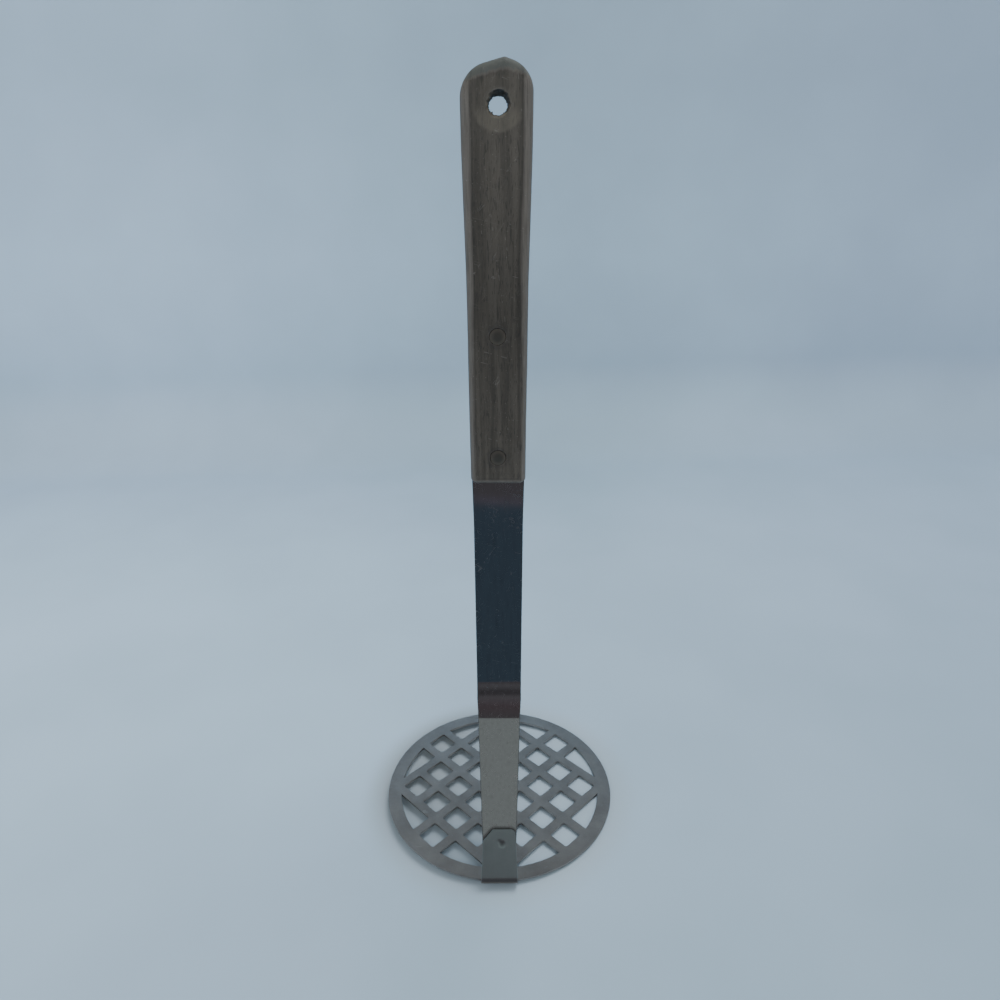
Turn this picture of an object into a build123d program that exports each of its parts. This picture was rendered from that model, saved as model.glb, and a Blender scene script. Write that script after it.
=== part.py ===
from build123d import *

import math
import os

# Potato masher: a lattice disc with a folded tab, a bent strap shank and a slotted wooden handle on two rivets.
# Millimetres. +Z up, +X to the right, the tab at the front towards -Y.
# The origin is the centre of the disc's underside, which stands on the table.

# Disc
disc_radius = 44.5
sheet = 1.0
rim_width = 5.2
opening_side = 8.0
bar_width = 3.6
opening_corner = 0.7

# Tab, folded up and back from the disc's front edge
tab_lean = 45.0
tab_root_width = 12.7
tab_tip_width = 11.5
tab_length = 15.5
fold_inner = 1.0
tab_chamfer_width = 3.4
tab_chamfer_length = 3.7
tab_corner = 1.9
dimple_width = 2.6
dimple_depth = 0.3
dimple_from_tip = 4.9
dimple_offset = 0.9

# Strap shank, with the tang at its upper end
strap = 2.0
strap_edge = 0.3
foot_width = 10.9
bend_width = 16.5
neck_width = 16.8
tang_width = 17.4
neck_drop = 17.0
bend_inner = 24.5
foot_gap = 0.5
tang_length = 57.0
tang_corner = 2.5

# Handle
handle_bottom = 135.7
handle_length = 121.5
handle_thickness = 12.0
handle_foot_width = 17.85
handle_waist_width = 18.45
handle_waist_rise = 56.0
handle_head_width = 20.0
handle_head_drop = 12.5
gable_left_drop = 3.3
gable_right_drop = 2.6
gable_peak_offset = 2.2
gable_left_radius = 8.7
gable_right_radius = 8.2
gable_peak_radius = 1.0
handle_edge = 2.6
handle_foot_chamfer = 0.9
slot_clearance = 0.05
slot_end_gap = 1.5

# Hang hole
hang_radius = 2.8
hang_drop = 11.5
hang_offset = 0.3
hang_mouth = 0.5

# Rivets, each set in from one end of the tang
rivet_radius = 2.4
rivet_crown = 0.25
rivet_clearance = 0.05
rivet_inset = 9.1

# One overrun serves every cut that passes right through
overrun = 5.0

# Worked out from the sizes above
inner_radius = disc_radius - rim_width
handle_top = handle_bottom + handle_length
tang_top = handle_bottom + tang_length
rivet_heights = {"lower_rivet": handle_bottom + rivet_inset, "upper_rivet": tang_top - rivet_inset}

# The fold turns about a line over the disc's front edge, and the tab leaves it up the lean
fold_outer = fold_inner + sheet
fold_y = -math.sqrt(disc_radius**2 - (tab_root_width / 2) ** 2)
lean = math.radians(tab_lean)
up_lean = Vector(0, math.cos(lean), math.sin(lean))
face_out = Vector(0, -math.sin(lean), math.cos(lean))
tab_foot = Vector(0, fold_y, fold_outer) + face_out * fold_outer
tab_plane = Plane(origin=tab_foot, x_dir=(1, 0, 0), z_dir=face_out)

# The strap's front face lies on the tab's inner face, and its foot clears the disc
weld_front = tab_foot - face_out * sheet
weld_back = weld_front - face_out * strap
foot_rise = (sheet + foot_gap - weld_back.Z) / math.sin(lean)
foot_front = weld_front + up_lean * foot_rise
foot_back = weld_back + up_lean * foot_rise
corner_front = weld_front.Z + (-strap / 2 - weld_front.Y) * math.tan(lean)
corner_back = weld_back.Z + (strap / 2 - weld_back.Y) * math.tan(lean)


def save(part, name):
    part.label = name
    export_step(part, "parts/" + name + ".step")


os.makedirs("parts", exist_ok=True)

# The lattice is square with the sheet turned by 45 degrees; openings that fit inside the rim are whole
spacing = opening_side + bar_width
most = math.floor(inner_radius / spacing)
steps = range(-most, most + 1)
whole_openings = [
    (i * spacing, j * spacing)
    for i in steps
    for j in steps
    if math.hypot(abs(i) * spacing + opening_side / 2, abs(j) * spacing + opening_side / 2) < inner_radius
]
# outside the last bars, longer openings run along the rim, two to each side of the lattice
last_bar = most * spacing - opening_side / 2
cross_bar = spacing - opening_side / 2
rim_openings = [
    (last_bar + disc_radius / 2, cross_bar + disc_radius / 2),
    (cross_bar + disc_radius / 2, last_bar + disc_radius / 2),
]

with BuildPart() as mashing_disc:
    with BuildSketch():
        Circle(disc_radius)
        # the fold starts on a straight edge
        with Locations((0, fold_y)):
            Rectangle(tab_root_width, disc_radius, align=(Align.CENTER, Align.MAX), mode=Mode.SUBTRACT)
    extrude(amount=sheet)

    with BuildSketch():
        with PolarLocations(0, 1, start_angle=45):
            with Locations(*whole_openings):
                RectangleRounded(opening_side, opening_side, opening_corner)
        for start in (45, 135, 225, 315):
            with PolarLocations(0, 1, start_angle=start):
                with Locations(*rim_openings):
                    RectangleRounded(disc_radius, disc_radius, opening_corner)
        Circle(inner_radius, mode=Mode.INTERSECT)
    extrude(amount=sheet, mode=Mode.SUBTRACT)

    # the fold, seen from the side
    with BuildSketch(Plane.YZ):
        with BuildLine():
            fold_turn = -(180 - tab_lean)
            nose = CenterArc((fold_y, fold_outer), fold_outer, 270, fold_turn)
            crook = CenterArc((fold_y, fold_outer), fold_inner, 270, fold_turn)
            Line(nose @ 0, crook @ 0)
            Line(nose @ 1, crook @ 1)
        make_face()
    extrude(amount=tab_root_width / 2, both=True)

    # the tab, seen square on: one corner cut off, the other rounded
    with BuildSketch(tab_plane) as tab_outline:
        with BuildLine():
            Polyline(
                (-tab_root_width / 2, 0),
                (tab_root_width / 2, 0),
                (tab_tip_width / 2, tab_length),
                (tab_chamfer_width - tab_tip_width / 2, tab_length),
                (-tab_tip_width / 2, tab_length - tab_chamfer_length),
                close=True,
            )
        make_face()
        right_corner = tab_outline.vertices().group_by(Axis.Y)[-1].sort_by(Axis.X)[-1]
        fillet(right_corner, tab_corner)
    extrude(amount=-sheet)

    # the dent that the welding electrode left
    dimple_radius = (dimple_width**2 / 4 + dimple_depth**2) / (2 * dimple_depth)
    dimple_centre = (dimple_offset, tab_length - dimple_from_tip, dimple_radius - dimple_depth)
    with Locations(tab_plane.location * Location(dimple_centre)):
        Sphere(dimple_radius, mode=Mode.SUBTRACT)

save(mashing_disc.part, "mashing_disc")


with BuildPart() as shank:
    # from the side: the foot behind the tab, the bend, and the straight run up to the tang's end
    with BuildSketch(Plane.YZ):
        with BuildLine():
            front = FilletPolyline(
                (foot_front.Y, foot_front.Z),
                (-strap / 2, corner_front),
                (-strap / 2, tang_top),
                radius=bend_inner,
            )
            back = FilletPolyline(
                (foot_back.Y, foot_back.Z),
                (strap / 2, corner_back),
                (strap / 2, tang_top),
                radius=bend_inner + strap,
            )
            Line(front @ 0, back @ 0)
            Line(front @ 1, back @ 1)
        make_face()
    extrude(amount=tang_width, both=True)

    # from the front: narrow at the foot, widening to the bend, then nearly parallel up to the tang
    with BuildSketch(Plane.XZ) as shank_outline:
        with BuildLine():
            right_side = Polyline(
                (foot_width / 2, foot_back.Z),
                (bend_width / 2, corner_front),
                (neck_width / 2, handle_bottom - neck_drop),
                (tang_width / 2, handle_bottom),
                (tang_width / 2, tang_top),
            )
            mirror(right_side, about=Plane.YZ)
            Line((-foot_width / 2, foot_back.Z), (foot_width / 2, foot_back.Z))
            Line((-tang_width / 2, tang_top), (tang_width / 2, tang_top))
        make_face()
        fillet(shank_outline.vertices().group_by(Axis.Y)[-1], tang_corner)
    extrude(amount=disc_radius + overrun, both=True, mode=Mode.INTERSECT)
    side_faces = [f for f in shank.faces() if abs(f.normal_at().X) > math.cos(lean)]
    long_edges = ShapeList(e for f in side_faces for e in f.edges() if e.length > 2 * strap)
    fillet(long_edges, strap_edge)

    with BuildSketch(Plane.XZ):
        with Locations(*[(0, height) for height in rivet_heights.values()]):
            Circle(rivet_radius + rivet_clearance)
    extrude(amount=strap, both=True, mode=Mode.SUBTRACT)

save(shank.part, "shank")


with BuildPart() as handle:
    # seen from the front: straight up to a waist, an easy curve out to the head, and a lopsided gable on top
    with BuildSketch(Plane.XZ):
        with BuildLine():
            head_height = handle_top - handle_head_drop
            waist_height = handle_bottom + handle_waist_rise
            upright = (0, 1)
            for side in (-1, 1):
                foot = (side * handle_foot_width / 2, handle_bottom)
                waist = (side * handle_waist_width / 2, waist_height)
                head = (side * handle_head_width / 2, head_height)
                Line(foot, waist)
                Spline(waist, head, tangents=(upright, upright))
            FilletPolyline(
                (-handle_head_width / 2, head_height),
                (-handle_head_width / 2, handle_top - gable_left_drop),
                (gable_peak_offset, handle_top),
                (handle_head_width / 2, handle_top - gable_right_drop),
                (handle_head_width / 2, head_height),
                radius=(gable_left_radius, gable_peak_radius, gable_right_radius),
            )
            Line((-handle_foot_width / 2, handle_bottom), (handle_foot_width / 2, handle_bottom))
        make_face()
    extrude(amount=handle_thickness / 2, both=True)

    # the long edges and the gable are rounded over, and the lower end has a small chamfer
    flat_faces = handle.faces().filter_by(Axis.Y)
    rounded = [e for e in flat_faces.edges() if e.center().Z > handle_bottom + handle_foot_chamfer]
    fillet(rounded, handle_edge)
    chamfer(handle.faces().sort_by(Axis.Z)[0].edges(), handle_foot_chamfer)

    # the saw slot for the tang runs out through both sides
    with BuildSketch(Plane.XY.offset(handle_bottom)):
        Rectangle(handle_head_width + overrun, strap + 2 * slot_clearance)
    extrude(amount=tang_length + slot_end_gap, mode=Mode.SUBTRACT)

    with BuildSketch(Plane.XZ):
        with Locations(*[(0, height) for height in rivet_heights.values()]):
            Circle(rivet_radius + rivet_clearance)
        with Locations((hang_offset, handle_top - hang_drop)):
            Circle(hang_radius)
    extrude(amount=handle_thickness, both=True, mode=Mode.SUBTRACT)

    hang_rims = handle.edges().filter_by(GeomType.CIRCLE).filter_by(lambda e: e.is_closed).group_by(Axis.Z)[-1]
    chamfer(hang_rims, hang_mouth)

save(handle.part, "handle")


# Each rivet is a pin with a faintly crowned end on either face of the handle
for name, height in rivet_heights.items():
    with BuildPart() as rivet:
        with BuildSketch(Plane.XY.offset(height)):
            with BuildLine():
                half = handle_thickness / 2
                crown_radius = (rivet_radius**2 + rivet_crown**2) / (2 * rivet_crown)
                RadiusArc((0, -half - rivet_crown), (rivet_radius, -half), -crown_radius)
                Line((rivet_radius, -half), (rivet_radius, half))
                RadiusArc((rivet_radius, half), (0, half + rivet_crown), -crown_radius)
                Line((0, half + rivet_crown), (0, -half - rivet_crown))
            make_face()
        revolve(axis=Axis((0, 0, height), (0, 1, 0)))
    save(rivet.part, name)

print("openings", len(whole_openings) + 4 * len(rim_openings), "height", handle_top)
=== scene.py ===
import math

import bmesh
import bpy
from mathutils import Matrix, Vector, noise


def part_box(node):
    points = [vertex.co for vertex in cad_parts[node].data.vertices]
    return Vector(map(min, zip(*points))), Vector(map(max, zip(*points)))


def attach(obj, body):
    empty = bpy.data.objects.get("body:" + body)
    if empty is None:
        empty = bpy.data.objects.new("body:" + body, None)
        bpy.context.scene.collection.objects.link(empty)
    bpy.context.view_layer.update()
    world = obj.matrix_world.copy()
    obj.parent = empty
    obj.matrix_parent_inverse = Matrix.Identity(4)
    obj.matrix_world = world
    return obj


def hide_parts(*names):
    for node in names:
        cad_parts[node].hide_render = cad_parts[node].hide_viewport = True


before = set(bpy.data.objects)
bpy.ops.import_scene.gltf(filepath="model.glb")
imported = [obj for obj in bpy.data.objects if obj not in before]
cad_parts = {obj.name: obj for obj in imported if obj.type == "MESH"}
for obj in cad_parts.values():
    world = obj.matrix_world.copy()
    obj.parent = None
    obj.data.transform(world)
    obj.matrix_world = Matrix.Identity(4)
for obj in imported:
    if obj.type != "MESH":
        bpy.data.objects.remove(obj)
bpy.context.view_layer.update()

mm = 0.001
closeBy = 1e-6  # points nearer to each other than this are one
onCut = 1e-7  # points nearer to a cut than this lie on it
scene = bpy.context.scene
print("frame loaded", sorted(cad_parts))


# small helpers

def put(tree, kind, inputs=None, **settings):
    # adds a node; an input is given a value or another node's output
    node = tree.nodes.new(kind)
    for name, value in settings.items():
        setattr(node, name, value)
    for name, value in (inputs or {}).items():
        if isinstance(value, bpy.types.NodeSocket):
            tree.links.new(value, node.inputs[name])
        else:
            node.inputs[name].default_value = value
    return node


def calc(tree, operation, first, second=0.0, clamp=False):
    node = put(tree, "ShaderNodeMath", {0: first, 1: second}, operation=operation, use_clamp=clamp)
    return node.outputs[0]


def times(tree, first, second, clamp=False):
    return calc(tree, "MULTIPLY", first, second, clamp)


def plus(tree, first, second):
    return calc(tree, "ADD", first, second)


def minus(tree, first, second, clamp=False):
    return calc(tree, "SUBTRACT", first, second, clamp)


def absolute(tree, value):
    return calc(tree, "ABSOLUTE", value)


def vectorFrom(tree, **axes):
    return put(tree, "ShaderNodeCombineXYZ", axes).outputs[0]


def axesOf(tree, vector):
    axes = put(tree, "ShaderNodeSeparateXYZ", {0: vector}).outputs
    return axes["X"], axes["Y"], axes["Z"]


def lengthOf(tree, vector):
    return put(tree, "ShaderNodeVectorMath", {0: vector}, operation="LENGTH").outputs["Value"]


def remap(tree, value, low, high, toLow=0.0, toHigh=1.0):
    spread = {"Value": value, "From Min": low, "From Max": high, "To Min": toLow, "To Max": toHigh}
    return put(tree, "ShaderNodeMapRange", spread, interpolation_type="SMOOTHSTEP").outputs["Result"]


def blendColor(tree, amount, first, second, how="MIX"):
    node = put(tree, "ShaderNodeMix", data_type="RGBA", blend_type=how)
    for socket, value in ((node.inputs[0], amount), (node.inputs[6], first), (node.inputs[7], second)):
        if isinstance(value, bpy.types.NodeSocket):
            tree.links.new(value, socket)
        else:
            socket.default_value = value
    return node.outputs[2]


def rgba(color):
    return (*color, 1.0)


def tint(tree, color, mask, amount, laid):
    # lays a second colour over the first where the mask is high
    return blendColor(tree, times(tree, mask, amount), color, rgba(laid))


def ramp(tree, value, stops):
    # a curve of greys or colours through the given stops
    low, high = stops[0][0], stops[-1][0]
    share = calc(tree, "DIVIDE", minus(tree, value, low), high - low)
    node = put(tree, "ShaderNodeValToRGB", {"Fac": share})
    marks = node.color_ramp.elements
    marks.remove(marks[1])
    for place, color in stops:
        mark = marks[0] if place == low else marks.new((place - low) / (high - low))
        mark.color = rgba(color if isinstance(color, tuple) else (color, color, color))
    return node.outputs["Color"]


def emptyMaterial(name):
    mat = bpy.data.materials.new(name)
    mat.use_nodes = True
    mat.node_tree.nodes.clear()
    return mat, mat.node_tree


def newMaterial(name):
    mat, tree = emptyMaterial(name)
    surface = put(tree, "ShaderNodeBsdfPrincipled")
    put(tree, "ShaderNodeOutputMaterial", {"Surface": surface.outputs[0]})
    return mat, tree, surface


def inMillimetres(tree, stretch=(1, 1, 1), shift=(0, 0, 0)):
    # object coordinates in millimetres, squeezed or stretched along each axis
    place = put(tree, "ShaderNodeTexCoord").outputs["Object"]
    scaled = {"Vector": place, "Scale": [1000 * s for s in stretch], "Location": shift}
    return put(tree, "ShaderNodeMapping", scaled).outputs[0]


def speckle(tree, vector, scale, detail=2.0, roughness=0.5, distortion=0.0):
    given = {
        "Vector": vector, "Scale": scale, "Detail": detail,
        "Roughness": roughness, "Distortion": distortion,
    }
    return put(tree, "ShaderNodeTexNoise", given).outputs["Fac"]


def addBump(tree, surface, height, strength, depth):
    # the depth is in millimetres
    bump = put(tree, "ShaderNodeBump", {"Strength": strength, "Distance": depth * mm, "Height": height})
    tree.links.new(bump.outputs[0], surface.inputs["Normal"])


def newGroup(name, kind, inputs, outputs):
    tree = bpy.data.node_groups.new(name, kind)
    for label, socketType, value in inputs:
        socket = tree.interface.new_socket(label, in_out="INPUT", socket_type=socketType)
        if value is not None:
            socket.default_value = value
    for label, socketType in outputs:
        tree.interface.new_socket(label, in_out="OUTPUT", socket_type=socketType)
    return tree, put(tree, "NodeGroupInput").outputs, put(tree, "NodeGroupOutput").inputs


def groupNode(tree, group, inputs):
    # each shared effect puts out one value
    return put(tree, "ShaderNodeGroup", inputs, node_tree=group).outputs[0]


def newObject(name, mesh):
    obj = bpy.data.objects.new(name, mesh)
    scene.collection.objects.link(obj)
    return obj


def settle(obj):
    # swaps the live modifiers for the plain mesh they make
    bpy.context.view_layer.update()
    graph = bpy.context.evaluated_depsgraph_get()
    live = obj.evaluated_get(graph)
    made = bpy.data.meshes.new_from_object(live, preserve_all_data_layers=True, depsgraph=graph)
    obj.modifiers.clear()
    obj.data = made


def finishTree(tree, given, result, geometry):
    # each geometry tree ends in real geometry with its material
    solid = put(tree, "GeometryNodeRealizeInstances", {"Geometry": geometry})
    painted = put(tree, "GeometryNodeSetMaterial", {
        "Geometry": solid.outputs[0], "Material": given["Finish"]})
    tree.links.new(painted.outputs[0], result["Geometry"])


def addGeometryNodes(obj, group, values):
    modifier = obj.modifiers.new(group.name, "NODES")
    modifier.node_group = group
    for item in group.interface.items_tree:
        if item.item_type == "SOCKET" and item.in_out == "INPUT" and item.name in values:
            modifier[item.identifier] = values[item.name]


# camera

viewpoint = {
    "place": (0.00058, -0.2345, 0.2313),
    "lens": 27.36,
    "sensor": 36,
    "nearest": 0.01,
    "downTilt": 23.9,
    "roll": -0.18,
}


def makeCamera(given):
    data = bpy.data.cameras.new("camera")
    data.lens = given["lens"]
    data.sensor_width = given["sensor"]
    data.clip_start = given["nearest"]
    camera = newObject("camera", data)
    tilt = Matrix.Rotation(math.radians(90 - given["downTilt"]), 4, "X")
    roll = Matrix.Rotation(math.radians(given["roll"]), 4, "Z")
    camera.matrix_world = Matrix.Translation(given["place"]) @ tilt @ roll
    scene.camera = camera


makeCamera(viewpoint)
print("camera placed")


# floor, backdrop, light

# lengths in metres; a pair of lengths is where a change starts and ends
# two more values are what it goes from and to
studio = {
    "paperColorAndShade": [
        (-0.30, (0.490, 0.635, 0.775)),
        (-0.08, (0.410, 0.538, 0.652)),
        (0.05, (0.352, 0.467, 0.562)),
        (0.30, (0.290, 0.376, 0.468)),
    ],
    "wallPaintedLight": [(0.0, 0.50), (0.03, 0.545), (0.09, 0.61), (0.16, 0.645), (0.23, 0.61), (0.29, 0.56)],
    "mottleTone": (0.97, 1.03),
    "paperNear": (0.05, -0.12, 1.0, 0.94),
    "paperFar": (0.12, 0.34, 1.0, 0.90),
    "paperRoughness": 0.9,
    "paperGloss": 0.1,
    "liftBack": (0.05, 0.38),
    "liftRight": (-0.02, 0.26),
    "wallLift": 0.24,
    "shadowUnderLeft": (0.75, 0.65, 0.58),
    "shadowUnderRight": (1.0, 0.925, 0.88),
    "shadowUnderRadius": (0.058, 0.044),
    "shadowUnderAcross": (0.015, -0.028),
    "shadowUnderBack": (-0.04, 0.005, 0.15, 1.0),
    "floorReach": 3.0,
    "floorSplit": -0.0468,
    "floorLevel": -0.0013,
    "floorTilt": 0.0292,
    "wallPlace": 0.42,
    "wallTop": 0.42,
    "wallBend": 0.07,
    "bendSteps": 12,
    "softboxPlace": (0.24, 0.36, 0.98),
    "softboxSize": 0.6,
    "softboxPower": 8.6,
    "softboxColor": (0.94, 1.0, 1.07),
    "softboxAim": 0.1,
    "fillPlace": (-0.03, -1.0, 0.6),
    "fillSize": 0.9,
    "fillPower": 5.6,
    "sidePlace": (0.95, -0.1, 0.6),
    "sideSize": 0.9,
    "rightPower": 2.3,
    "leftPower": 2.5,
    "fillAim": 0.13,
    "roomLow": (0.45, 0.462, 0.472),
    "roomHigh": (0.325, 0.350, 0.356),
    "roomSplit": (0.2, 0.62),
}


def makePaper(given):
    mat, tree, surface = newMaterial("paper")
    mottle = speckle(tree, inMillimetres(tree), 0.012, 3.0)
    place = put(tree, "ShaderNodeTexCoord").outputs["Object"]
    across, back, up = axesOf(tree, place)
    # painted light and shade: a little darker towards the front and the back, lighter up the middle of the
    # wall and at the back right
    near = remap(tree, back, *given["paperNear"])
    tone = times(tree, remap(tree, mottle, 0.3, 0.7, *given["mottleTone"]), near)
    wall = times(tree, ramp(tree, up, given["wallPaintedLight"]), 2.0)
    far = remap(tree, back, *given["paperFar"])
    tone = times(tree, times(tree, tone, wall), far)
    right = times(tree, remap(tree, back, *given["liftBack"]), remap(tree, across, *given["liftRight"]))
    tone = times(tree, tone, plus(tree, times(tree, right, given["wallLift"]), 1.0))
    # the paper's own blue, painted darker towards the right where less light falls
    color = blendColor(tree, 1.0, ramp(tree, across, given["paperColorAndShade"]), tone, "MULTIPLY")
    # painted shadow: the paper under the disc is darkened and greyed, most at the left and the back
    side = remap(tree, across, *given["shadowUnderAcross"])
    side = times(tree, side, remap(tree, back, *given["shadowUnderBack"]))
    shade = blendColor(tree, side, rgba(given["shadowUnderRight"]), rgba(given["shadowUnderLeft"]))
    under = remap(tree, lengthOf(tree, place), *given["shadowUnderRadius"])
    color = blendColor(tree, under, color, shade, "MULTIPLY")
    tree.links.new(color, surface.inputs["Base Color"])
    surface.inputs["Roughness"].default_value = given["paperRoughness"]
    surface.inputs["Specular IOR Level"].default_value = given["paperGloss"]
    return mat


def makeSheet(given, name, profile, paper):
    # a wide strip of paper along a profile, a little higher at the right
    reach = given["floorReach"]
    bm = bmesh.new()
    rows = []
    for x in (-reach, reach):
        lift = given["floorLevel"] + given["floorTilt"] * x
        rows.append([bm.verts.new((x, y, z + lift)) for y, z in profile])
    for i in range(len(profile) - 1):
        bm.faces.new((rows[0][i], rows[1][i], rows[1][i + 1], rows[0][i + 1]))
    mesh = bpy.data.meshes.new(name)
    bm.to_mesh(mesh)
    bm.free()
    mesh.shade_smooth()
    sheet = newObject(name, mesh)
    mesh.materials.append(paper)
    return sheet


def makeFloor(given, paper):
    # paper that runs out flat and curves up behind the masher
    # its front part isn't seen in the polished strap
    bend, wall, steps = given["wallBend"], given["wallPlace"], given["bendSteps"]
    sweep = [(given["floorSplit"], 0.0), (wall - bend, 0.0)]
    for step in range(1, steps + 1):
        turn = math.radians(90 * step / steps)
        sweep.append((wall - bend + bend * math.sin(turn), bend - bend * math.cos(turn)))
    sweep.append((wall, given["wallTop"]))
    makeSheet(given, "paperSweep", sweep, paper)
    front = makeSheet(given, "paperFront", [(-given["floorReach"], 0.0), (given["floorSplit"], 0.0)], paper)
    front.visible_glossy = False


def addSoftLight(name, place, aimHeight, size, power, color=(1, 1, 1)):
    data = bpy.data.lights.new(name, "AREA")
    data.shape = "SQUARE"
    data.size = size
    data.energy = power
    data.color = color
    lamp = newObject(name, data)
    toTarget = Vector((0, 0, aimHeight)) - Vector(place)
    lamp.matrix_world = Matrix.Translation(place) @ toTarget.to_track_quat("-Z", "Y").to_matrix().to_4x4()
    lamp.visible_glossy = False


def makeLamps(given):
    # a softbox above and behind, a fill in front and one at each side
    addSoftLight(
        "softbox", given["softboxPlace"], given["softboxAim"], given["softboxSize"], given["softboxPower"],
        given["softboxColor"])
    aim = given["fillAim"]
    addSoftLight("frontFill", given["fillPlace"], aim, given["fillSize"], given["fillPower"])
    x, y, z = given["sidePlace"]
    addSoftLight("rightFill", (x, y, z), aim, given["sideSize"], given["rightPower"])
    addSoftLight("leftFill", (-x, y, z), aim, given["sideSize"], given["leftPower"])


def makeRoom(given):
    # brighter near the horizon than above it
    world = bpy.data.worlds.new("room")
    scene.world = world
    world.use_nodes = True
    tree = world.node_tree
    tree.nodes.clear()
    height = axesOf(tree, put(tree, "ShaderNodeTexCoord").outputs["Generated"])[2]
    up = remap(tree, height, *given["roomSplit"])
    color = blendColor(tree, up, rgba(given["roomLow"]), rgba(given["roomHigh"]))
    glow = put(tree, "ShaderNodeBackground", {"Color": color, "Strength": 1.0})
    put(tree, "ShaderNodeOutputWorld", {"Surface": glow.outputs[0]})


# what stands in front of the polished strap, seen only as its reflection
# the tones are heights in metres and their colours
reflected = {
    "place": -1.2,
    "halfWidth": 1.0,
    "bottom": -4.0,
    "top": 1.06,
    "arch": 10.0,
    "archWidest": 0.0036,
    "archFrom": (-0.34, -0.24),
    "slant": 0.06,
    "lowTone": (0.170, 0.185, 0.190),
    "lowFrom": (-1.05, -1.25),
    "tones": [
        (-0.450, (0.062, 0.088, 0.122)),
        (-0.418, (0.062, 0.088, 0.122)),
        (-0.412, (0.138, 0.124, 0.160)),
        (-0.402, (0.130, 0.117, 0.148)),
        (-0.392, (0.106, 0.097, 0.109)),
        (-0.350, (0.106, 0.097, 0.109)),
        (-0.330, (0.135, 0.128, 0.143)),
        (-0.220, (0.130, 0.124, 0.138)),
        (-0.060, (0.080, 0.075, 0.085)),
        (0.040, (0.084, 0.078, 0.088)),
        (0.160, (0.140, 0.130, 0.145)),
        (0.350, (0.135, 0.116, 0.131)),
        (0.500, (0.120, 0.096, 0.109)),
        (1.060, (0.112, 0.104, 0.114)),
    ],
}


def makeReflected(given):
    mat, tree = emptyMaterial("reflectedRoom")
    across, _, up = axesOf(tree, put(tree, "ShaderNodeTexCoord").outputs["Object"])
    # the bands bow in the bend and slope a little
    bulge = calc(tree, "MINIMUM", times(tree, across, across), given["archWidest"])
    bowed = times(tree, remap(tree, up, *given["archFrom"]), given["arch"])
    height = minus(tree, up, times(tree, bulge, bowed))
    height = plus(tree, height, times(tree, across, given["slant"]))
    low = remap(tree, height, *given["lowFrom"])
    color = blendColor(tree, low, ramp(tree, height, given["tones"]), rgba(given["lowTone"]))
    glow = put(tree, "ShaderNodeEmission", {"Color": color, "Strength": 1.0})
    put(tree, "ShaderNodeOutputMaterial", {"Surface": glow.outputs[0]})
    side, place = given["halfWidth"], given["place"]
    corners = [(x, place, given["bottom"]) for x in (-side, side)]
    corners += [(x, place, given["top"]) for x in (side, -side)]
    mesh = bpy.data.meshes.new("reflectedRoom")
    mesh.from_pydata(corners, [], [(0, 1, 2, 3)])
    mesh.materials.append(mat)
    card = newObject("reflectedRoom", mesh)
    card.visible_camera = False
    card.visible_diffuse = False
    card.visible_shadow = False
    card.visible_transmission = False


makeFloor(studio, makePaper(studio))
makeRoom(studio)
makeLamps(studio)
makeReflected(reflected)
print("studio made")


# shared surface effects

def makeCreviceShadeAndDirt():
    # high where another surface is close by; it lays painted shade and dirt in the crevices
    tree, given, result = newGroup(
        "creviceShadeAndDirt", "ShaderNodeTree",
        [("Reach", "NodeSocketFloat", 0.001), ("Strength", "NodeSocketFloat", 1.0)],
        [("Mask", "NodeSocketFloat")],
    )
    shade = put(tree, "ShaderNodeAmbientOcclusion", {"Distance": given["Reach"]}, samples=8)
    hidden = minus(tree, 1.0, shade.outputs["AO"])
    tree.links.new(times(tree, hidden, given["Strength"], clamp=True), result["Mask"])
    return tree


def makeRoundedEdgeMask():
    # high where a rounded edge would face another way
    tree, given, result = newGroup(
        "roundedEdgeMask", "ShaderNodeTree",
        [("Radius", "NodeSocketFloat", 0.0005), ("Strength", "NodeSocketFloat", 1.0)],
        [("Mask", "NodeSocketFloat")],
    )
    rounded = put(tree, "ShaderNodeBevel", {"Radius": given["Radius"]}, samples=6)
    plain = put(tree, "ShaderNodeNewGeometry").outputs["True Normal"]
    same = put(tree, "ShaderNodeVectorMath", {0: rounded.outputs[0], 1: plain}, operation="DOT_PRODUCT")
    apart = minus(tree, 1.0, same.outputs["Value"])
    tree.links.new(times(tree, apart, given["Strength"], clamp=True), result["Mask"])
    return tree


def makeScratches():
    # thin lines where a stretched noise crosses its middle, in patches
    tree, given, result = newGroup(
        "fineScratches", "ShaderNodeTree",
        [("Vector", "NodeSocketVector", None), ("Width", "NodeSocketFloat", 0.02),
         ("Amount", "NodeSocketFloat", 0.5)],
        [("Mask", "NodeSocketFloat")],
    )
    layers = []
    for turn, squeeze, scale in ((8, 0.014, 1.1), (-32, 0.02, 0.9), (74, 0.025, 0.7)):
        turned = put(tree, "ShaderNodeMapping", {
            "Vector": given["Vector"], "Rotation": (0, math.radians(turn), 0)})
        longer = put(tree, "ShaderNodeVectorMath", {
            0: turned.outputs[0], 1: (1, 1, squeeze)}, operation="MULTIPLY")
        band = speckle(tree, longer.outputs[0], scale, 0.0)
        off = absolute(tree, minus(tree, band, 0.5))
        line = minus(tree, 1.0, calc(tree, "DIVIDE", off, given["Width"]), clamp=True)
        patch = speckle(tree, turned.outputs[0], 0.35, 3.0)
        kept = calc(tree, "GREATER_THAN", plus(tree, patch, given["Amount"]), 1.0)
        layers.append(times(tree, line, kept))
    both = calc(tree, "MAXIMUM", layers[0], layers[1])
    tree.links.new(calc(tree, "MAXIMUM", both, layers[2]), result["Mask"])
    return tree


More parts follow.
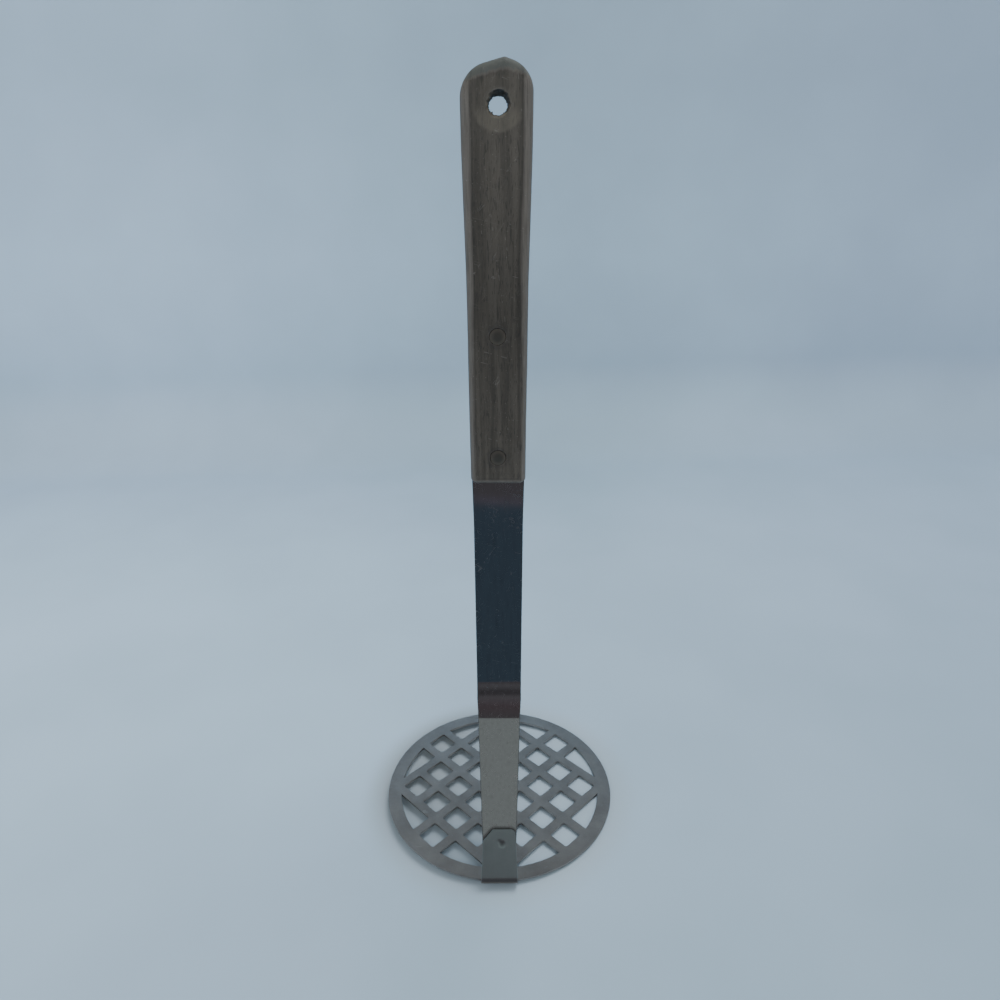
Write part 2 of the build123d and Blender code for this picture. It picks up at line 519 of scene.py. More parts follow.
def makeClouds():
    # broad soft patches between two values
    tree, given, result = newGroup(
        "clouds", "ShaderNodeTree",
        [("Vector", "NodeSocketVector", None), ("Scale", "NodeSocketFloat", 0.1),
         ("Low", "NodeSocketFloat", 0.0), ("High", "NodeSocketFloat", 1.0)],
        [("Value", "NodeSocketFloat")],
    )
    soft = speckle(tree, given["Vector"], given["Scale"], 4.0, 0.6)
    spread = put(tree, "ShaderNodeMapRange", {
        "Value": soft, "From Min": 0.3, "From Max": 0.7, "To Min": given["Low"], "To Max": given["High"]})
    tree.links.new(spread.outputs["Result"], result["Value"])
    return tree


creviceShadeAndDirt = makeCreviceShadeAndDirt()
roundedEdgeMask = makeRoundedEdgeMask()
fineScratches = makeScratches()
clouds = makeClouds()
print("surface effects made")


# lattice disc with its folded tab

# millimetres and degrees
discSheet = {
    "radius": 44.5,
    "sheet": 1.0,
    "fieldRadius": 39.3,
    "openingSide": 8.0,
    "barWidth": 3.6,
    "cornerRadius": 0.7,
    "rimSteps": 240,
    "rootWidth": 12.7,
    "tipWidth": 11.5,
    "tabLength": 15.5,
    "tabLean": 45.0,
    "foldSteps": 16,
    "foldInner": 1.0,
    "cutWide": 3.4,
    "cutLong": 3.7,
    "cornerRound": 1.9,
    "cornerSteps": 8,
    "edgeEase": 0.16,
    "easeAngle": 40,
    "sharpAngle": 50,
    "dentPlace": (0.9, 4.9),  # to the right, and down from the tab's tip
    "dentRadius": 1.25,
    "dentDepth": 0.22,
    "dentTail": (0.9, 0.9, 0.6, 0.5),  # shift, squash, and its size and depth against the pit's
    "dentGrid": 0.25,
    "dentLines": 8,
}

discSteel = {
    "color": (0.412, 0.381, 0.361),
    "stain": (0.30, 0.277, 0.263),
    "tab": (0.395, 0.46, 0.475),
    "tabStain": (0.33, 0.385, 0.39),
    "bright": (0.54, 0.53, 0.52),
    "shadeAndGrime": (0.09, 0.09, 0.088),
    "tabFrom": (2.0, 3.5),
    "edgeShade": 0.7,
    "creviceShadeAndGrime": 0.7,
    "dentDarkening": 0.45,
    "scratchTone": 0.35,
    "roughness": (0.30, 0.44),
    "dirtRoughness": 0.3,
}


def makeDiscSteel(given):
    mat, tree, surface = newMaterial("discSteel")
    place = inMillimetres(tree)
    mottle = groupNode(tree, clouds, {"Vector": place, "Scale": 0.09})
    fine = speckle(tree, place, 2.6, 3.0)
    worn = groupNode(tree, roundedEdgeMask, {"Radius": 0.35 * mm, "Strength": 3.0})
    creviceMask = groupNode(tree, creviceShadeAndDirt, {"Reach": 1.6 * mm, "Strength": 1.1})
    scratch = groupNode(tree, fineScratches, {"Vector": place, "Width": 0.012, "Amount": 0.45})
    dented = put(tree, "ShaderNodeAttribute", attribute_name="dent").outputs["Fac"]
    # painted light and reflection: the tab gets a lighter, greener copy of the steel's colour, as it faces
    # another way
    flat = blendColor(tree, mottle, rgba(given["stain"]), rgba(given["color"]))
    raised = blendColor(tree, mottle, rgba(given["tabStain"]), rgba(given["tab"]))
    onTab = remap(tree, axesOf(tree, place)[2], *given["tabFrom"])
    color = blendColor(tree, onTab, flat, raised)
    # painted shade: darker outlines along the lattice's edges
    color = tint(tree, color, worn, given["edgeShade"], given["shadeAndGrime"])
    color = tint(tree, color, scratch, given["scratchTone"], given["bright"])
    # painted shade and grime in the crevices
    color = tint(tree, color, creviceMask, given["creviceShadeAndGrime"], given["shadeAndGrime"])
    # the dent is darkened
    color = tint(tree, color, dented, given["dentDarkening"], given["shadeAndGrime"])
    tree.links.new(color, surface.inputs["Base Color"])
    surface.inputs["Metallic"].default_value = 1.0
    rough = remap(tree, fine, 0.3, 0.7, *given["roughness"])
    rough = plus(tree, rough, times(tree, creviceMask, given["dirtRoughness"]))
    tree.links.new(rough, surface.inputs["Roughness"])
    addBump(tree, surface, minus(tree, fine, scratch), 0.12, 0.02)
    return mat


def makePerforate():
    # punches a sheet with a turned square lattice of openings
    tree, given, result = newGroup(
        "perforateSheet", "GeometryNodeTree",
        [("Geometry", "NodeSocketGeometry", None), ("Opening Side", "NodeSocketFloat", 0.008),
         ("Bar Width", "NodeSocketFloat", 0.0036), ("Corner Radius", "NodeSocketFloat", 0.0007),
         ("Field Radius", "NodeSocketFloat", 0.0393), ("Sheet", "NodeSocketFloat", 0.001),
         ("Rows Out", "NodeSocketInt", 3), ("Rim Steps", "NodeSocketInt", 240),
         ("Finish", "NodeSocketMaterial", None)],
        [("Geometry", "NodeSocketGeometry")],
    )
    opening = given["Opening Side"]
    half = times(tree, opening, 0.5)
    pitch = plus(tree, opening, given["Bar Width"])
    lastBar = minus(tree, times(tree, pitch, given["Rows Out"]), half)
    crossBar = plus(tree, half, given["Bar Width"])
    path = put(tree, "GeometryNodeCurvePrimitiveLine", {
        "Start": vectorFrom(tree, Z=times(tree, given["Sheet"], -1.0)),
        "End": vectorFrom(tree, Z=times(tree, given["Sheet"], 2.0))})

    def punch(wide, long):
        square = put(tree, "GeometryNodeCurvePrimitiveQuadrilateral", {"Width": wide, "Height": long})
        outline = put(tree, "GeometryNodeFilletCurve", {
            "Curve": square.outputs[0], "Count": 5, "Radius": given["Corner Radius"]}, mode="POLY")
        return put(tree, "GeometryNodeCurveToMesh", {
            "Curve": path.outputs[0], "Profile Curve": outline.outputs[0], "Fill Caps": True}).outputs[0]

    # the whole ones: those whose far corner stays inside the rim
    spaces = times(tree, given["Rows Out"], 2.0)
    rows = plus(tree, spaces, 1.0)
    span = times(tree, pitch, spaces)
    grid = put(tree, "GeometryNodeMeshGrid", {
        "Size X": span, "Size Y": span, "Vertices X": rows, "Vertices Y": rows})
    place = put(tree, "GeometryNodeInputPosition").outputs[0]
    outward = put(tree, "ShaderNodeVectorMath", {0: place}, operation="ABSOLUTE").outputs[0]
    corner = vectorFrom(tree, X=half, Y=half)
    farCorner = put(tree, "ShaderNodeVectorMath", {0: outward, 1: corner}, operation="ADD").outputs[0]
    outside = calc(tree, "GREATER_THAN", lengthOf(tree, farCorner), given["Field Radius"])
    centres = put(tree, "GeometryNodeDeleteGeometry", {
        "Geometry": grid.outputs[0], "Selection": outside}, domain="POINT")
    whole = put(tree, "GeometryNodeInstanceOnPoints", {
        "Points": centres.outputs[0], "Instance": punch(opening, opening)})

    # the long ones: a pair outside the last bar on each of the four sides
    wide = plus(tree, minus(tree, given["Field Radius"], lastBar), half)
    long = times(tree, minus(tree, lastBar, crossBar), 0.9)
    index = put(tree, "GeometryNodeInputIndex").outputs[0]
    turn = times(tree, calc(tree, "FLOOR", times(tree, index, 0.5)), math.pi / 2)
    side = minus(tree, times(tree, calc(tree, "MODULO", index, 2.0), 2.0), 1.0)
    spot = vectorFrom(
        tree,
        X=plus(tree, lastBar, times(tree, wide, 0.5)),
        Y=times(tree, side, plus(tree, crossBar, times(tree, long, 0.5))))
    turned = put(tree, "ShaderNodeVectorRotate", {"Vector": spot, "Angle": turn}, rotation_type="Z_AXIS")
    points = put(tree, "GeometryNodePoints", {"Count": 8, "Position": turned.outputs[0]})
    rim = put(tree, "GeometryNodeInstanceOnPoints", {
        "Points": points.outputs[0], "Instance": punch(wide, long), "Rotation": vectorFrom(tree, Z=turn)})

    # all punches, kept inside the rim, are cut from the sheet
    both = put(tree, "GeometryNodeJoinGeometry")
    tree.links.new(whole.outputs[0], both.inputs[0])
    tree.links.new(rim.outputs[0], both.inputs[0])
    real = put(tree, "GeometryNodeRealizeInstances", {"Geometry": both.outputs[0]})
    lattice = put(tree, "GeometryNodeTransform", {
        "Geometry": real.outputs[0], "Rotation": (0, 0, math.radians(45))})
    field = put(tree, "GeometryNodeMeshCylinder", {
        "Vertices": given["Rim Steps"], "Radius": given["Field Radius"],
        "Depth": times(tree, given["Sheet"], 3.5)})
    kept = put(tree, "GeometryNodeMeshBoolean", operation="INTERSECT", solver="EXACT")
    tree.links.new(lattice.outputs[0], kept.inputs["Mesh 2"])
    tree.links.new(field.outputs[0], kept.inputs["Mesh 2"])
    cut = put(tree, "GeometryNodeMeshBoolean", {
        "Mesh 1": given["Geometry"], "Mesh 2": kept.outputs[0]}, operation="DIFFERENCE", solver="EXACT")
    finishTree(tree, given, result, cut.outputs[0])
    return tree


def makeBlank(given):
    # the flat blank before punching and folding: the disc with a tongue at its front
    radius, root, tip = given["radius"], given["rootWidth"] / 2, given["tipWidth"] / 2
    foldPlace = -math.sqrt(radius**2 - root**2)
    bendLength = math.radians(180 - given["tabLean"]) * (given["foldInner"] + given["sheet"] / 2)
    tabFoot, tabTip = foldPlace - bendLength, foldPlace - bendLength - given["tabLength"]
    start = math.atan2(foldPlace, root)
    sweep = 2 * math.pi - 2 * math.asin(root / radius)
    outline = []
    for step in range(given["rimSteps"] + 1):
        turn = start + sweep * step / given["rimSteps"]
        outline.append((radius * math.cos(turn), radius * math.sin(turn)))
    outline += [(-root, tabFoot), (-tip, tabTip + given["cutLong"]), (given["cutWide"] - tip, tabTip)]
    corner = given["cornerRound"]
    for step in range(given["cornerSteps"] + 1):
        turn = math.radians(90 * step / given["cornerSteps"])
        outline.append((tip - corner + corner * math.sin(turn), tabTip + corner - corner * math.cos(turn)))
    outline.append((root, tabFoot))
    bm = bmesh.new()
    low = bm.faces.new([bm.verts.new((x * mm, y * mm, 0)) for x, y in outline])
    grown = bmesh.ops.extrude_face_region(bm, geom=[low])["geom"]
    top = [v for v in grown if isinstance(v, bmesh.types.BMVert)]
    bmesh.ops.translate(bm, verts=top, vec=(0, 0, given["sheet"] * mm))
    bmesh.ops.recalc_face_normals(bm, faces=bm.faces)
    mesh = bpy.data.meshes.new("mashingDisc")
    bm.to_mesh(mesh)
    bm.free()
    return newObject("mashingDisc", mesh), foldPlace, bendLength


def foldTab(obj, given, foldPlace, bendLength):
    # splits the tongue finely, dents it, and wraps it round the fold
    bm = bmesh.new()
    bm.from_mesh(obj.data)

    def tongue():
        faces = [f for f in bm.faces if f.calc_center_median().y < foldPlace * mm + closeBy]
        edges = dict.fromkeys(e for f in faces for e in f.edges)
        verts = dict.fromkeys(v for f in faces for v in f.verts)
        return [*verts, *edges, *faces]

    def cutAt(x, y, facing, parts):
        bmesh.ops.bisect_plane(bm, geom=parts, dist=onCut, plane_co=(x * mm, y * mm, 0), plane_no=facing)

    lengthwise, sideways = (0, 1, 0), (1, 0, 0)
    cutAt(0, foldPlace, lengthwise, bm.verts[:] + bm.edges[:] + bm.faces[:])
    steps = given["foldSteps"]
    for step in range(1, steps + 1):
        cutAt(0, foldPlace - bendLength * step / steps, lengthwise, tongue())
    dentX, dentDown = given["dentPlace"]
    dentY = foldPlace - bendLength - given["tabLength"] + dentDown
    for step in range(-given["dentLines"], given["dentLines"] + 1):
        cutAt(0, dentY + step * given["dentGrid"], lengthwise, tongue())
        cutAt(dentX + step * given["dentGrid"], 0, sideways, tongue())
    lean = math.radians(180 - given["tabLean"])
    outer = given["foldInner"] + given["sheet"]
    shift, squash, size, share = given["dentTail"]
    dent = bm.verts.layers.float.new("dent")
    for v in bm.verts:
        x, y, z = (c / mm for c in v.co)
        run = foldPlace - y
        if run <= onCut / mm:
            continue
        if z < given["sheet"] / 2:
            # a comma-shaped dent: a round pit with a tail down to the left
            pit = math.hypot(x - dentX, y - dentY) / given["dentRadius"]
            tail = math.hypot(x - dentX + shift, (y - dentY + shift) * squash)
            tail /= size * given["dentRadius"]
            depth = max(0.0, 1 - pit**2) + share * max(0.0, 1 - tail**2)
            z += given["dentDepth"] * min(1.0, depth)
            v[dent] = min(1.0, depth)
        turn = min(run / bendLength, 1.0) * lean
        extra = max(0.0, run - bendLength)
        y = foldPlace - (outer - z) * math.sin(turn) - extra * math.cos(turn)
        z = outer - (outer - z) * math.cos(turn) + extra * math.sin(turn)
        v.co = (x * mm, y * mm, z * mm)
    bm.to_mesh(obj.data)
    bm.free()


def makeDisc(given, finish):
    disc, foldPlace, bendLength = makeBlank(given)
    addGeometryNodes(disc, makePerforate(), {
        "Opening Side": given["openingSide"] * mm, "Bar Width": given["barWidth"] * mm,
        "Corner Radius": given["cornerRadius"] * mm, "Field Radius": given["fieldRadius"] * mm,
        "Sheet": given["sheet"] * mm, "Rim Steps": given["rimSteps"], "Finish": finish})
    settle(disc)
    ease = disc.modifiers.new("easedEdges", "BEVEL")
    ease.width = given["edgeEase"] * mm
    ease.segments = 2
    ease.limit_method = "ANGLE"
    ease.angle_limit = math.radians(given["easeAngle"])
    ease.use_clamp_overlap = False
    settle(disc)
    foldTab(disc, given, foldPlace, bendLength)
    disc.data.shade_smooth()
    disc.data.set_sharp_from_angle(angle=math.radians(given["sharpAngle"]))
    disc.modifiers.new("evenShading", "WEIGHTED_NORMAL").keep_sharp = True
    settle(disc)
    return disc


mashingDisc = makeDisc(discSheet, makeDiscSteel(discSteel))
print("disc made", len(mashingDisc.data.polygons), "faces")


# strap shank

shankSteel = {
    "color": (0.392, 0.405, 0.402),
    "scratchColor": (0.52, 0.53, 0.53),
    "stain": (0.30, 0.305, 0.30),
    "shadeAndGrime": (0.05, 0.05, 0.048),
    "roughness": (0.035, 0.07),
    "scratchRoughness": 0.32,
    "dirtRoughness": 0.3,
    "scratchAmount": 0.44,
    "scuffAmount": 1.0,
    "smearTone": 0.3,
    "streakTone": 0.4,
    "creviceShadeAndGrime": 0.9,
    "cornerShade": 0.8,
}


def makeShankSteel(given):
    mat, tree, surface = newMaterial("shankSteel")
    place = inMillimetres(tree)
    scratch = groupNode(tree, fineScratches, {
        "Vector": place, "Width": 0.007, "Amount": given["scratchAmount"]})
    # a few short curled scuffs, in patches
    curl = absolute(tree, minus(tree, speckle(tree, place, 0.22, 1.0, 0.5, 1.2), 0.5))
    broken = remap(tree, speckle(tree, place, 0.35, 1.0), 0.48, 0.56)
    patch = remap(tree, speckle(tree, place, 0.07, 1.0), 0.47, 0.57)
    curl = times(tree, remap(tree, curl, 0.012, 0.003), times(tree, broken, patch))
    scratch = calc(tree, "MAXIMUM", scratch, times(tree, curl, given["scuffAmount"]))
    creviceMask = groupNode(tree, creviceShadeAndDirt, {"Reach": 1.3 * mm, "Strength": 2.2})
    streak = speckle(tree, inMillimetres(tree, (1.2, 1.2, 0.12)), 1.0, 3.0)
    smear = times(tree, remap(tree, streak, 0.35, 0.65), given["smearTone"])
    stain = plus(tree, smear, times(tree, remap(tree, streak, 0.60, 0.74), given["streakTone"]))
    color = blendColor(tree, stain, rgba(given["color"]), rgba(given["stain"]))
    color = blendColor(tree, scratch, color, rgba(given["scratchColor"]))
    # painted shade and grime in the crevices
    color = tint(tree, color, creviceMask, given["creviceShadeAndGrime"], given["shadeAndGrime"])
    # the cut corners stay dark beside the polished face
    facing = axesOf(tree, put(tree, "ShaderNodeNewGeometry").outputs["True Normal"])[0]
    sideways = absolute(tree, facing)
    corner = times(tree, remap(tree, sideways, 0.2, 0.5), remap(tree, sideways, 0.98, 0.9))
    color = tint(tree, color, corner, given["cornerShade"], given["shadeAndGrime"])
    tree.links.new(color, surface.inputs["Base Color"])
    surface.inputs["Metallic"].default_value = 1.0
    haze = groupNode(tree, clouds, {"Vector": place, "Scale": 0.16})
    low, high = given["roughness"]
    rough = plus(tree, times(tree, haze, high - low), low)
    rough = plus(tree, rough, times(tree, scratch, given["scratchRoughness"]))
    rough = plus(tree, rough, times(tree, creviceMask, given["dirtRoughness"]))
    tree.links.new(rough, surface.inputs["Roughness"])
    addBump(tree, surface, times(tree, scratch, -1.0), 0.05, 0.01)
    return mat


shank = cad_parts["shank"]
shank.data.materials.clear()
shank.data.materials.append(makeShankSteel(shankSteel))
print("shank dressed")


# wooden handle

# millimetres; heights are from the floor
woodHandle = {
    "voxel": 0.35,
    "smoothing": 3,
    "unevenness": 0.10,
    "swellScale": (0.11, 0.035),
    "grooveDepth": 0.05,
    "grooveScale": (1.3, 0.05),
    "holeCentre": (0.3, 245.7),
    "holeRadius": 2.8,
    "holeZone": 0.9,
    "rawRing": (3.5, 3.0),
    "holeRubbed": (7.6, 6.2),
    "holeRagged": 0.6,
    "ragLayers": [(1.0, 2.4, 0.5, 6.0), (0.7, 7, 1.3, 17)],  # amount, and scale along each axis
    "holeWorn": 0.85,
    "holeWornTurn": 0.95,
    "foot": 135.7,
    "waist": 191.7,
    "head": 244.7,
    "top": 257.2,
    "peakPlace": 2.2,
    "gableSlope": 0.28,
    "halfWidths": (8.92, 9.22, 10.0),  # at the foot, the waist and the head
    "halfThickness": 6.0,
    "edgeStrip": (1.5, 2.6),
    "gableStrip": 2.8,
    "footStrip": 1.3,
    "rivetHeights": (144.8, 183.6),
    "rivetRing": (4.4, 2.2),
}

wood = {
    "dark": (0.0455, 0.041, 0.0345),
    "light": (0.0765, 0.068, 0.0565),
    "pore": (0.022, 0.021, 0.020),
    "worn": (0.164, 0.148, 0.131),
    "rawHole": (0.165, 0.148, 0.115),
    "pale": (0.28, 0.27, 0.25),
    "edgeHighlightRub": 0.72,
    "gable": (0.092, 0.104, 0.098),
    "gableRub": 0.6,
    "gableLine": 0.32,
    "holeRub": 0.34,
    "rivetRingShade": 0.62,
    "poreTone": 0.75,
    "crackTone": 0.5,
    "creaseShadeTone": 0.25,
    "rawTone": 0.6,
    "nickTone": 0.22,
    "speckTone": 0.32,
    "creviceShadeAndDirtTone": 0.4,
    "gloss": 0.35,
    "roughness": (0.52, 0.72),
    # heights and how much painted light and shade the wood gets there
    "paintedLightLevels": [
        (135.7, 0.60), (153.0, 0.495), (165.0, 0.505), (177.0, 0.445), (187.0, 0.415),
        (200.0, 0.445), (211.0, 0.49), (220.0, 0.515), (230.0, 0.565), (237.0, 0.60),
        (243.0, 0.56), (250.0, 0.56), (254.0, 0.65), (257.2, 0.73),
    ],
}


def makeWood(given, shape):
    mat, tree, surface = newMaterial("wornWood")
    place = inMillimetres(tree)
    along = inMillimetres(tree, (1, 1, 0.045))
    broad = speckle(tree, along, 0.42, 2.0, 0.5, 0.35)
    streaks = speckle(tree, inMillimetres(tree, (1, 1, 0.06)), 1.5, 5.0, 0.65, 0.2)
    pores = speckle(tree, inMillimetres(tree, (1, 1, 0.09)), 5.0, 2.0)
    cracks = speckle(tree, inMillimetres(tree, (1, 1, 0.13), (3, 0, 1)), 1.5, 2.5, 0.6)
    grain = remap(tree, plus(tree, times(tree, broad, 0.55), times(tree, streaks, 0.45)), 0.36, 0.64)
    porous = remap(tree, pores, 0.60, 0.70)
    color = blendColor(tree, grain, rgba(given["dark"]), rgba(given["light"]))
    color = tint(tree, color, porous, given["poreTone"], given["pore"])
    color = tint(tree, color, remap(tree, cracks, 0.585, 0.64), given["crackTone"], given["pore"])

    # painted light and shade: darker in the middle, lighter towards both ends
    across, _, up = axesOf(tree, place)
    level = times(tree, ramp(tree, up, given["paintedLightLevels"]), 2.0)
    color = blendColor(tree, 1.0, color, level, "MULTIPLY")

    # painted highlight with rubbing wear: lighter strips along the edges and the foot, each with a thin
    # line of painted shade inside it
    atFoot, atWaist, atHead = shape["halfWidths"]
    lower = remap(tree, up, shape["foot"], shape["waist"], atFoot, atWaist)
    upper = remap(tree, up, shape["waist"], shape["head"], 0.0, atHead - atWaist)
    wander = times(tree, minus(tree, speckle(tree, along, 0.8, 4.0, 0.6), 0.5), 1.8)
    fromSide = minus(tree, plus(tree, lower, upper), absolute(tree, across))
    fromSide = plus(tree, fromSide, wander)
    strip = remap(tree, up, shape["foot"], shape["head"], *shape["edgeStrip"])
    past = minus(tree, fromSide, strip)
    past = calc(tree, "MINIMUM", past, minus(tree, up, shape["foot"] + shape["footStrip"]))
    highlightedRubbedEdge = times(tree, remap(tree, past, 0.5, -0.7), given["edgeHighlightRub"])

    # painted highlight: the gable's top edge is paler and greener, with a pale line where the strips fade
    # out
    fromPeak = absolute(tree, minus(tree, across, shape["peakPlace"]))
    slope = times(tree, fromPeak, shape["gableSlope"])
    ridge = minus(tree, shape["top"] - shape["gableStrip"], slope)
    below = plus(tree, minus(tree, ridge, up), wander)
    highlightedRubbedEdge = times(tree, highlightedRubbedEdge, remap(tree, below, -0.6, 0.8, 0.35, 1.0))
    line = remap(tree, absolute(tree, minus(tree, below, 0.1)), 0.6, 0.1)
    highlightedRubbedEdge = calc(tree, "MAXIMUM", highlightedRubbedEdge, times(tree, line, given["gableLine"]))
    patchy = remap(tree, speckle(tree, along, 2.2, 4.0, 0.7), 0.3, 0.65, 0.45, 1.0)
    creaseShade = remap(tree, absolute(tree, minus(tree, past, 0.45)), 0.5, 0.1)
    color = tint(tree, color, remap(tree, below, 0.4, -0.6), given["gableRub"], given["gable"])
    color = tint(tree, color, highlightedRubbedEdge, patchy, given["worn"])
    color = tint(tree, color, creaseShade, given["creaseShadeTone"], given["pore"])

    # rubbed zone round the hole, and a paler bore: raw wood with painted light on its walls
    centreX, centreZ = shape["holeCentre"]
    away = lengthOf(tree, vectorFrom(tree, X=minus(tree, across, centreX), Z=minus(tree, up, centreZ)))
    ripple = times(tree, minus(tree, speckle(tree, place, 0.5, 2.0), 0.5), 2.0)
    rubbed = remap(tree, plus(tree, away, ripple), *shape["holeRubbed"])
    rubbed = times(tree, rubbed, remap(tree, up, centreZ, centreZ - 3.5, 0.25, 1.0))
    raw = remap(tree, away, *shape["rawRing"])
    color = tint(tree, color, rubbed, given["holeRub"], given["rawHole"])
    color = tint(tree, color, raw, given["rawTone"], given["rawHole"])

    # painted shade: dark rings round the rivets
    for height in shape["rivetHeights"]:
        apart = lengthOf(tree, vectorFrom(tree, X=across, Z=minus(tree, up, height)))
        ring = remap(tree, plus(tree, apart, wander), *shape["rivetRing"])
        color = tint(tree, color, ring, given["rivetRingShade"], given["pore"])

    # painted highlight with wear: edges lightened towards grey wood, in patches
    worn = groupNode(tree, roundedEdgeMask, {"Radius": 1.8 * mm, "Strength": 1.5})
    rub = remap(tree, speckle(tree, along, 0.9, 3.0), 0.25, 0.6, 0.45, 1.0)
    color = tint(tree, color, worn, rub, given["worn"])

    # pale nicks and specks, and painted shade with dirt in the corners
    nicks = groupNode(tree, fineScratches, {"Vector": place, "Width": 0.010, "Amount": 0.42})
    specks = remap(tree, speckle(tree, place, 2.2, 1.0), 0.735, 0.77)
    nicks, specks = times(tree, nicks, given["nickTone"]), times(tree, specks, given["speckTone"])
    color = blendColor(tree, calc(tree, "MAXIMUM", nicks, specks), color, rgba(given["pale"]))
    creviceMask = groupNode(tree, creviceShadeAndDirt, {"Reach": 1.4 * mm, "Strength": 1.0})
    color = tint(tree, color, creviceMask, given["creviceShadeAndDirtTone"], given["pore"])
    tree.links.new(color, surface.inputs["Base Color"])

    tree.links.new(remap(tree, streaks, 0.3, 0.7, *given["roughness"]), surface.inputs["Roughness"])
    surface.inputs["Specular IOR Level"].default_value = given["gloss"]
    addBump(tree, surface, minus(tree, streaks, times(tree, porous, 0.8)), 0.5, 0.12)
    return mat


def noiseAt(x, y, z):
    return noise.noise(Vector((x, y, z)))


def clamped(value):
    return min(1.0, max(0.0, value))


def wearOf(point, normal, given):
    # how far use has worn a point of the skin, in millimetres
    wide, long = given["swellScale"]
    swell = noiseAt(point.x * wide, point.y * wide, point.z * long) * given["unevenness"]
    wide, long = given["grooveScale"]
    groove = abs(noiseAt(point.x * wide, point.y * wide, point.z * long + 7))
    move = normal * (swell - given["grooveDepth"] * max(0.0, 1 - 5 * groove))
    centreX, centreZ = given["holeCentre"]
    fromHole = Vector((point.x - centreX, 0, point.z - centreZ))
    reach = given["holeRadius"] + given["holeZone"]
    if fromHole.length >= reach:
        return move
    turn = math.atan2(fromHole.z, fromHole.x)
    rag = 0.0
    for amount, scaleX, scaleY, scaleZ in given["ragLayers"]:
        rag += amount * noiseAt(math.cos(turn) * scaleX, point.y * scaleY, math.sin(turn) * scaleZ)
    # the cord has worn the front of the bore up and to one side
    front = clamped(0.5 - point.y / given["halfThickness"])
    worn = given["holeWorn"] * max(0.0, math.cos(turn - given["holeWornTurn"])) * front
    near = clamped(reach - fromHole.length)
    return move + fromHole.normalized() * (worn - given["holeRagged"] * rag) * near


def makeHandle(given, finish):
    bm = bmesh.new()
    bm.from_mesh(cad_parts["handle"].data)
    bmesh.ops.remove_doubles(bm, verts=bm.verts, dist=closeBy)
    mesh = bpy.data.meshes.new("woodenHandle")
    bm.to_mesh(mesh)
    bm.free()
    handle = newObject("woodenHandle", mesh)
    skin = handle.modifiers.new("evenSkin", "REMESH")
    skin.mode = "VOXEL"
    skin.voxel_size = given["voxel"] * mm
    soften = handle.modifiers.new("wornEdges", "SMOOTH")
    soften.factor = 0.5
    soften.iterations = given["smoothing"]
    settle(handle)

    # lengthwise grooves and a ragged bore, kept inside the plain handle's box
    low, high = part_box("handle")
    moved = []
    for vertex in handle.data.vertices:
        point = vertex.co / mm
        point += wearOf(point, vertex.normal, given)
        moved.extend(min(max(c, a), b) for c, a, b in zip(point * mm, low, high))
    handle.data.vertices.foreach_set("co", moved)
    handle.data.update()
    handle.data.shade_smooth()
    handle.data.materials.clear()
    handle.data.materials.append(finish)
    return handle


woodenHandle = makeHandle(woodHandle, makeWood(wood, woodHandle))
print("handle made", len(woodenHandle.data.polygons), "faces")


# rivets

# millimetres and degrees
rivetShape = {
    "radius": 2.4,
    "length": 12.0,
    "crown": 0.25,
    "dents": 0.05,
    "sharpAngle": 50,
    "heights": {"lowerRivet": 144.8, "upperRivet": 183.6},
    "seeds": (3.0, 8.0),
}

rivetSteel = {
    "color": (0.22, 0.222, 0.195),
    "bright": (0.28, 0.278, 0.255),
    "shadeAndGrime": (0.05, 0.05, 0.047),
    "outer": (0.34, 0.326, 0.28),
    "cloudTone": 0.5,
    "creviceShadeAndGrime": 0.1,
    "roughness": (0.46, 0.66),
}


def makeRivetSteel(given, shape):
    mat, tree, surface = newMaterial("rivetSteel")
    place = inMillimetres(tree)
    tone = groupNode(tree, clouds, {"Vector": place, "Scale": 0.8})
    creviceMask = groupNode(tree, creviceShadeAndDirt, {"Reach": 0.8 * mm, "Strength": 1.2})
    color = tint(tree, rgba(given["color"]), tone, given["cloudTone"], given["bright"])
    # paler towards the rim, where the wood rubs on it
    across, _, up = axesOf(tree, place)
    lower, upper = sorted(shape["heights"].values())
    fromMiddle = absolute(tree, minus(tree, up, (lower + upper) / 2))
    fromRivet = minus(tree, fromMiddle, (upper - lower) / 2)
    away = lengthOf(tree, vectorFrom(tree, X=across, Z=fromRivet))
    rim = remap(tree, away, 0.4 * shape["radius"], shape["radius"])
    color = blendColor(tree, rim, color, rgba(given["outer"]))
    # painted shade and grime in the crevices
    color = tint(tree, color, creviceMask, given["creviceShadeAndGrime"], given["shadeAndGrime"])
    tree.links.new(color, surface.inputs["Base Color"])
    surface.inputs["Metallic"].default_value = 1.0
    low, high = given["roughness"]
    tree.links.new(plus(tree, times(tree, tone, high - low), low), surface.inputs["Roughness"])
    addBump(tree, surface, speckle(tree, place, 2.0, 3.0), 0.4, 0.05)
    return mat


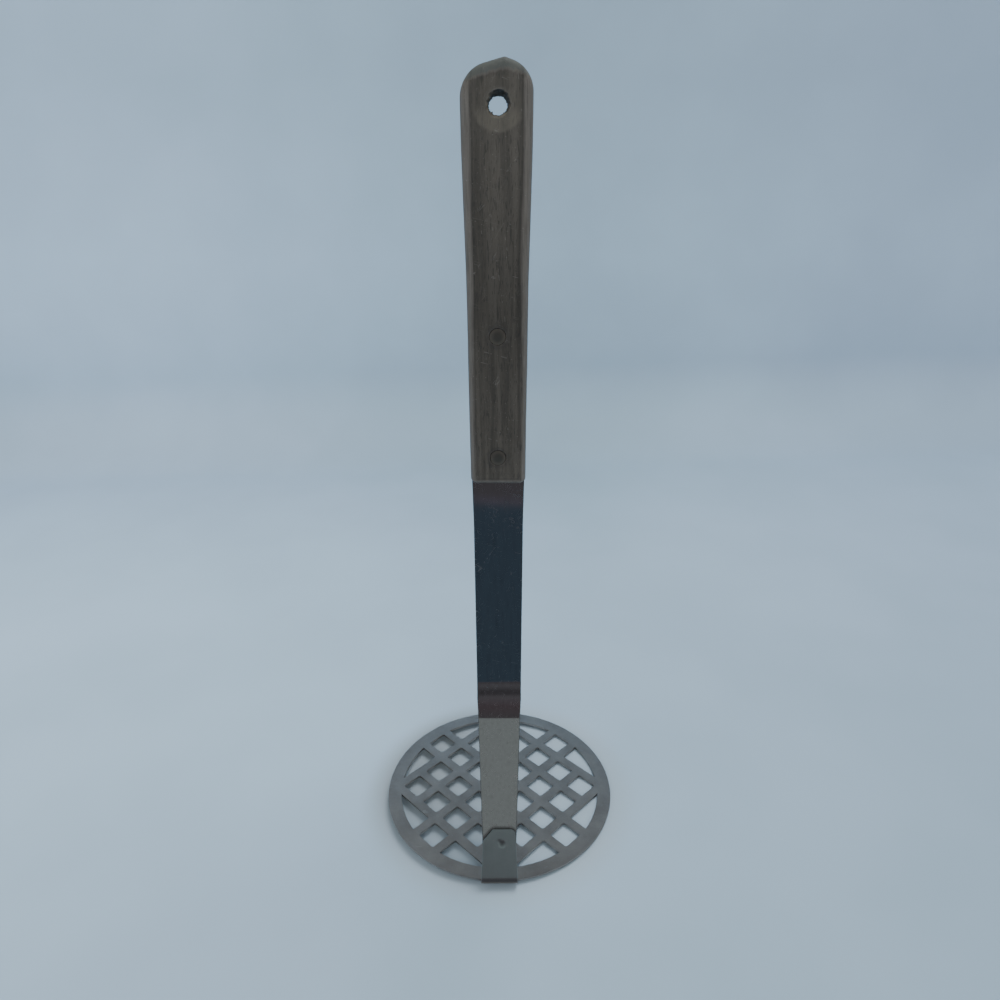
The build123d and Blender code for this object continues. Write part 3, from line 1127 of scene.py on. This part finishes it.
def makeRivetTree():
    # a pin through the handle, its ends faintly crowned and dented by the hammer
    tree, given, result = newGroup(
        "hammeredRivet", "GeometryNodeTree",
        [("Radius", "NodeSocketFloat", 0.0024), ("Length", "NodeSocketFloat", 0.012),
         ("Crown", "NodeSocketFloat", 0.00025), ("Dents", "NodeSocketFloat", 0.00005),
         ("Height", "NodeSocketFloat", 0.14), ("Seed", "NodeSocketFloat", 1.0),
         ("Finish", "NodeSocketMaterial", None)],
        [("Geometry", "NodeSocketGeometry")],
    )
    pin = put(tree, "GeometryNodeMeshCylinder", {
        "Vertices": 48, "Side Segments": 6, "Fill Segments": 8,
        "Radius": given["Radius"], "Depth": given["Length"]}, fill_type="TRIANGLE_FAN")
    place = put(tree, "GeometryNodeInputPosition").outputs[0]
    x, y, z = axesOf(tree, place)
    share = calc(tree, "DIVIDE", lengthOf(tree, vectorFrom(tree, X=x, Y=y)), given["Radius"])
    dome = minus(tree, 1.0, times(tree, share, share), clamp=True)
    lumps = put(tree, "ShaderNodeTexNoise", {
        "Vector": place, "W": given["Seed"], "Scale": 900.0, "Detail": 1.0}, noise_dimensions="4D")
    dents = times(tree, lumps.outputs[0], given["Dents"])
    dents = times(tree, dents, times(tree, dome, 2.0, clamp=True))
    rise = minus(tree, times(tree, dome, given["Crown"]), dents)
    lift = vectorFrom(tree, Z=times(tree, rise, calc(tree, "SIGN", z)))
    atEnd = calc(tree, "GREATER_THAN", absolute(tree, z), times(tree, given["Length"], 0.499))
    domed = put(tree, "GeometryNodeSetPosition", {
        "Geometry": pin.outputs[0], "Selection": atEnd, "Offset": lift})
    stood = put(tree, "GeometryNodeTransform", {
        "Geometry": domed.outputs[0], "Rotation": (math.radians(90), 0, 0),
        "Translation": vectorFrom(tree, Z=given["Height"])})
    finishTree(tree, given, result, stood.outputs[0])
    return tree


def makeRivets(given, finish):
    group = makeRivetTree()
    made = {}
    for seed, (name, height) in zip(given["seeds"], given["heights"].items()):
        rivet = newObject(name, bpy.data.meshes.new(name))
        addGeometryNodes(rivet, group, {
            "Radius": given["radius"] * mm, "Length": given["length"] * mm, "Crown": given["crown"] * mm,
            "Dents": given["dents"] * mm, "Height": height * mm, "Seed": seed, "Finish": finish})
        settle(rivet)
        rivet.data.shade_smooth()
        rivet.data.set_sharp_from_angle(angle=math.radians(given["sharpAngle"]))
        made[name] = rivet
    return made


rivets = makeRivets(rivetShape, makeRivetSteel(rivetSteel, rivetShape))
print("rivets made")


# hand the pieces to the frame

standsFor = {
    "mashing_disc": (mashingDisc, "disc_steel"),
    "handle": (woodenHandle, "handle_wood"),
    "upper_rivet": (rivets["upperRivet"], "rivet_steel"),
    "lower_rivet": (rivets["lowerRivet"], "rivet_steel"),
}
for node, (piece, slotName) in standsFor.items():
    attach(piece, "root")
    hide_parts(node)

print("pieces handed over")
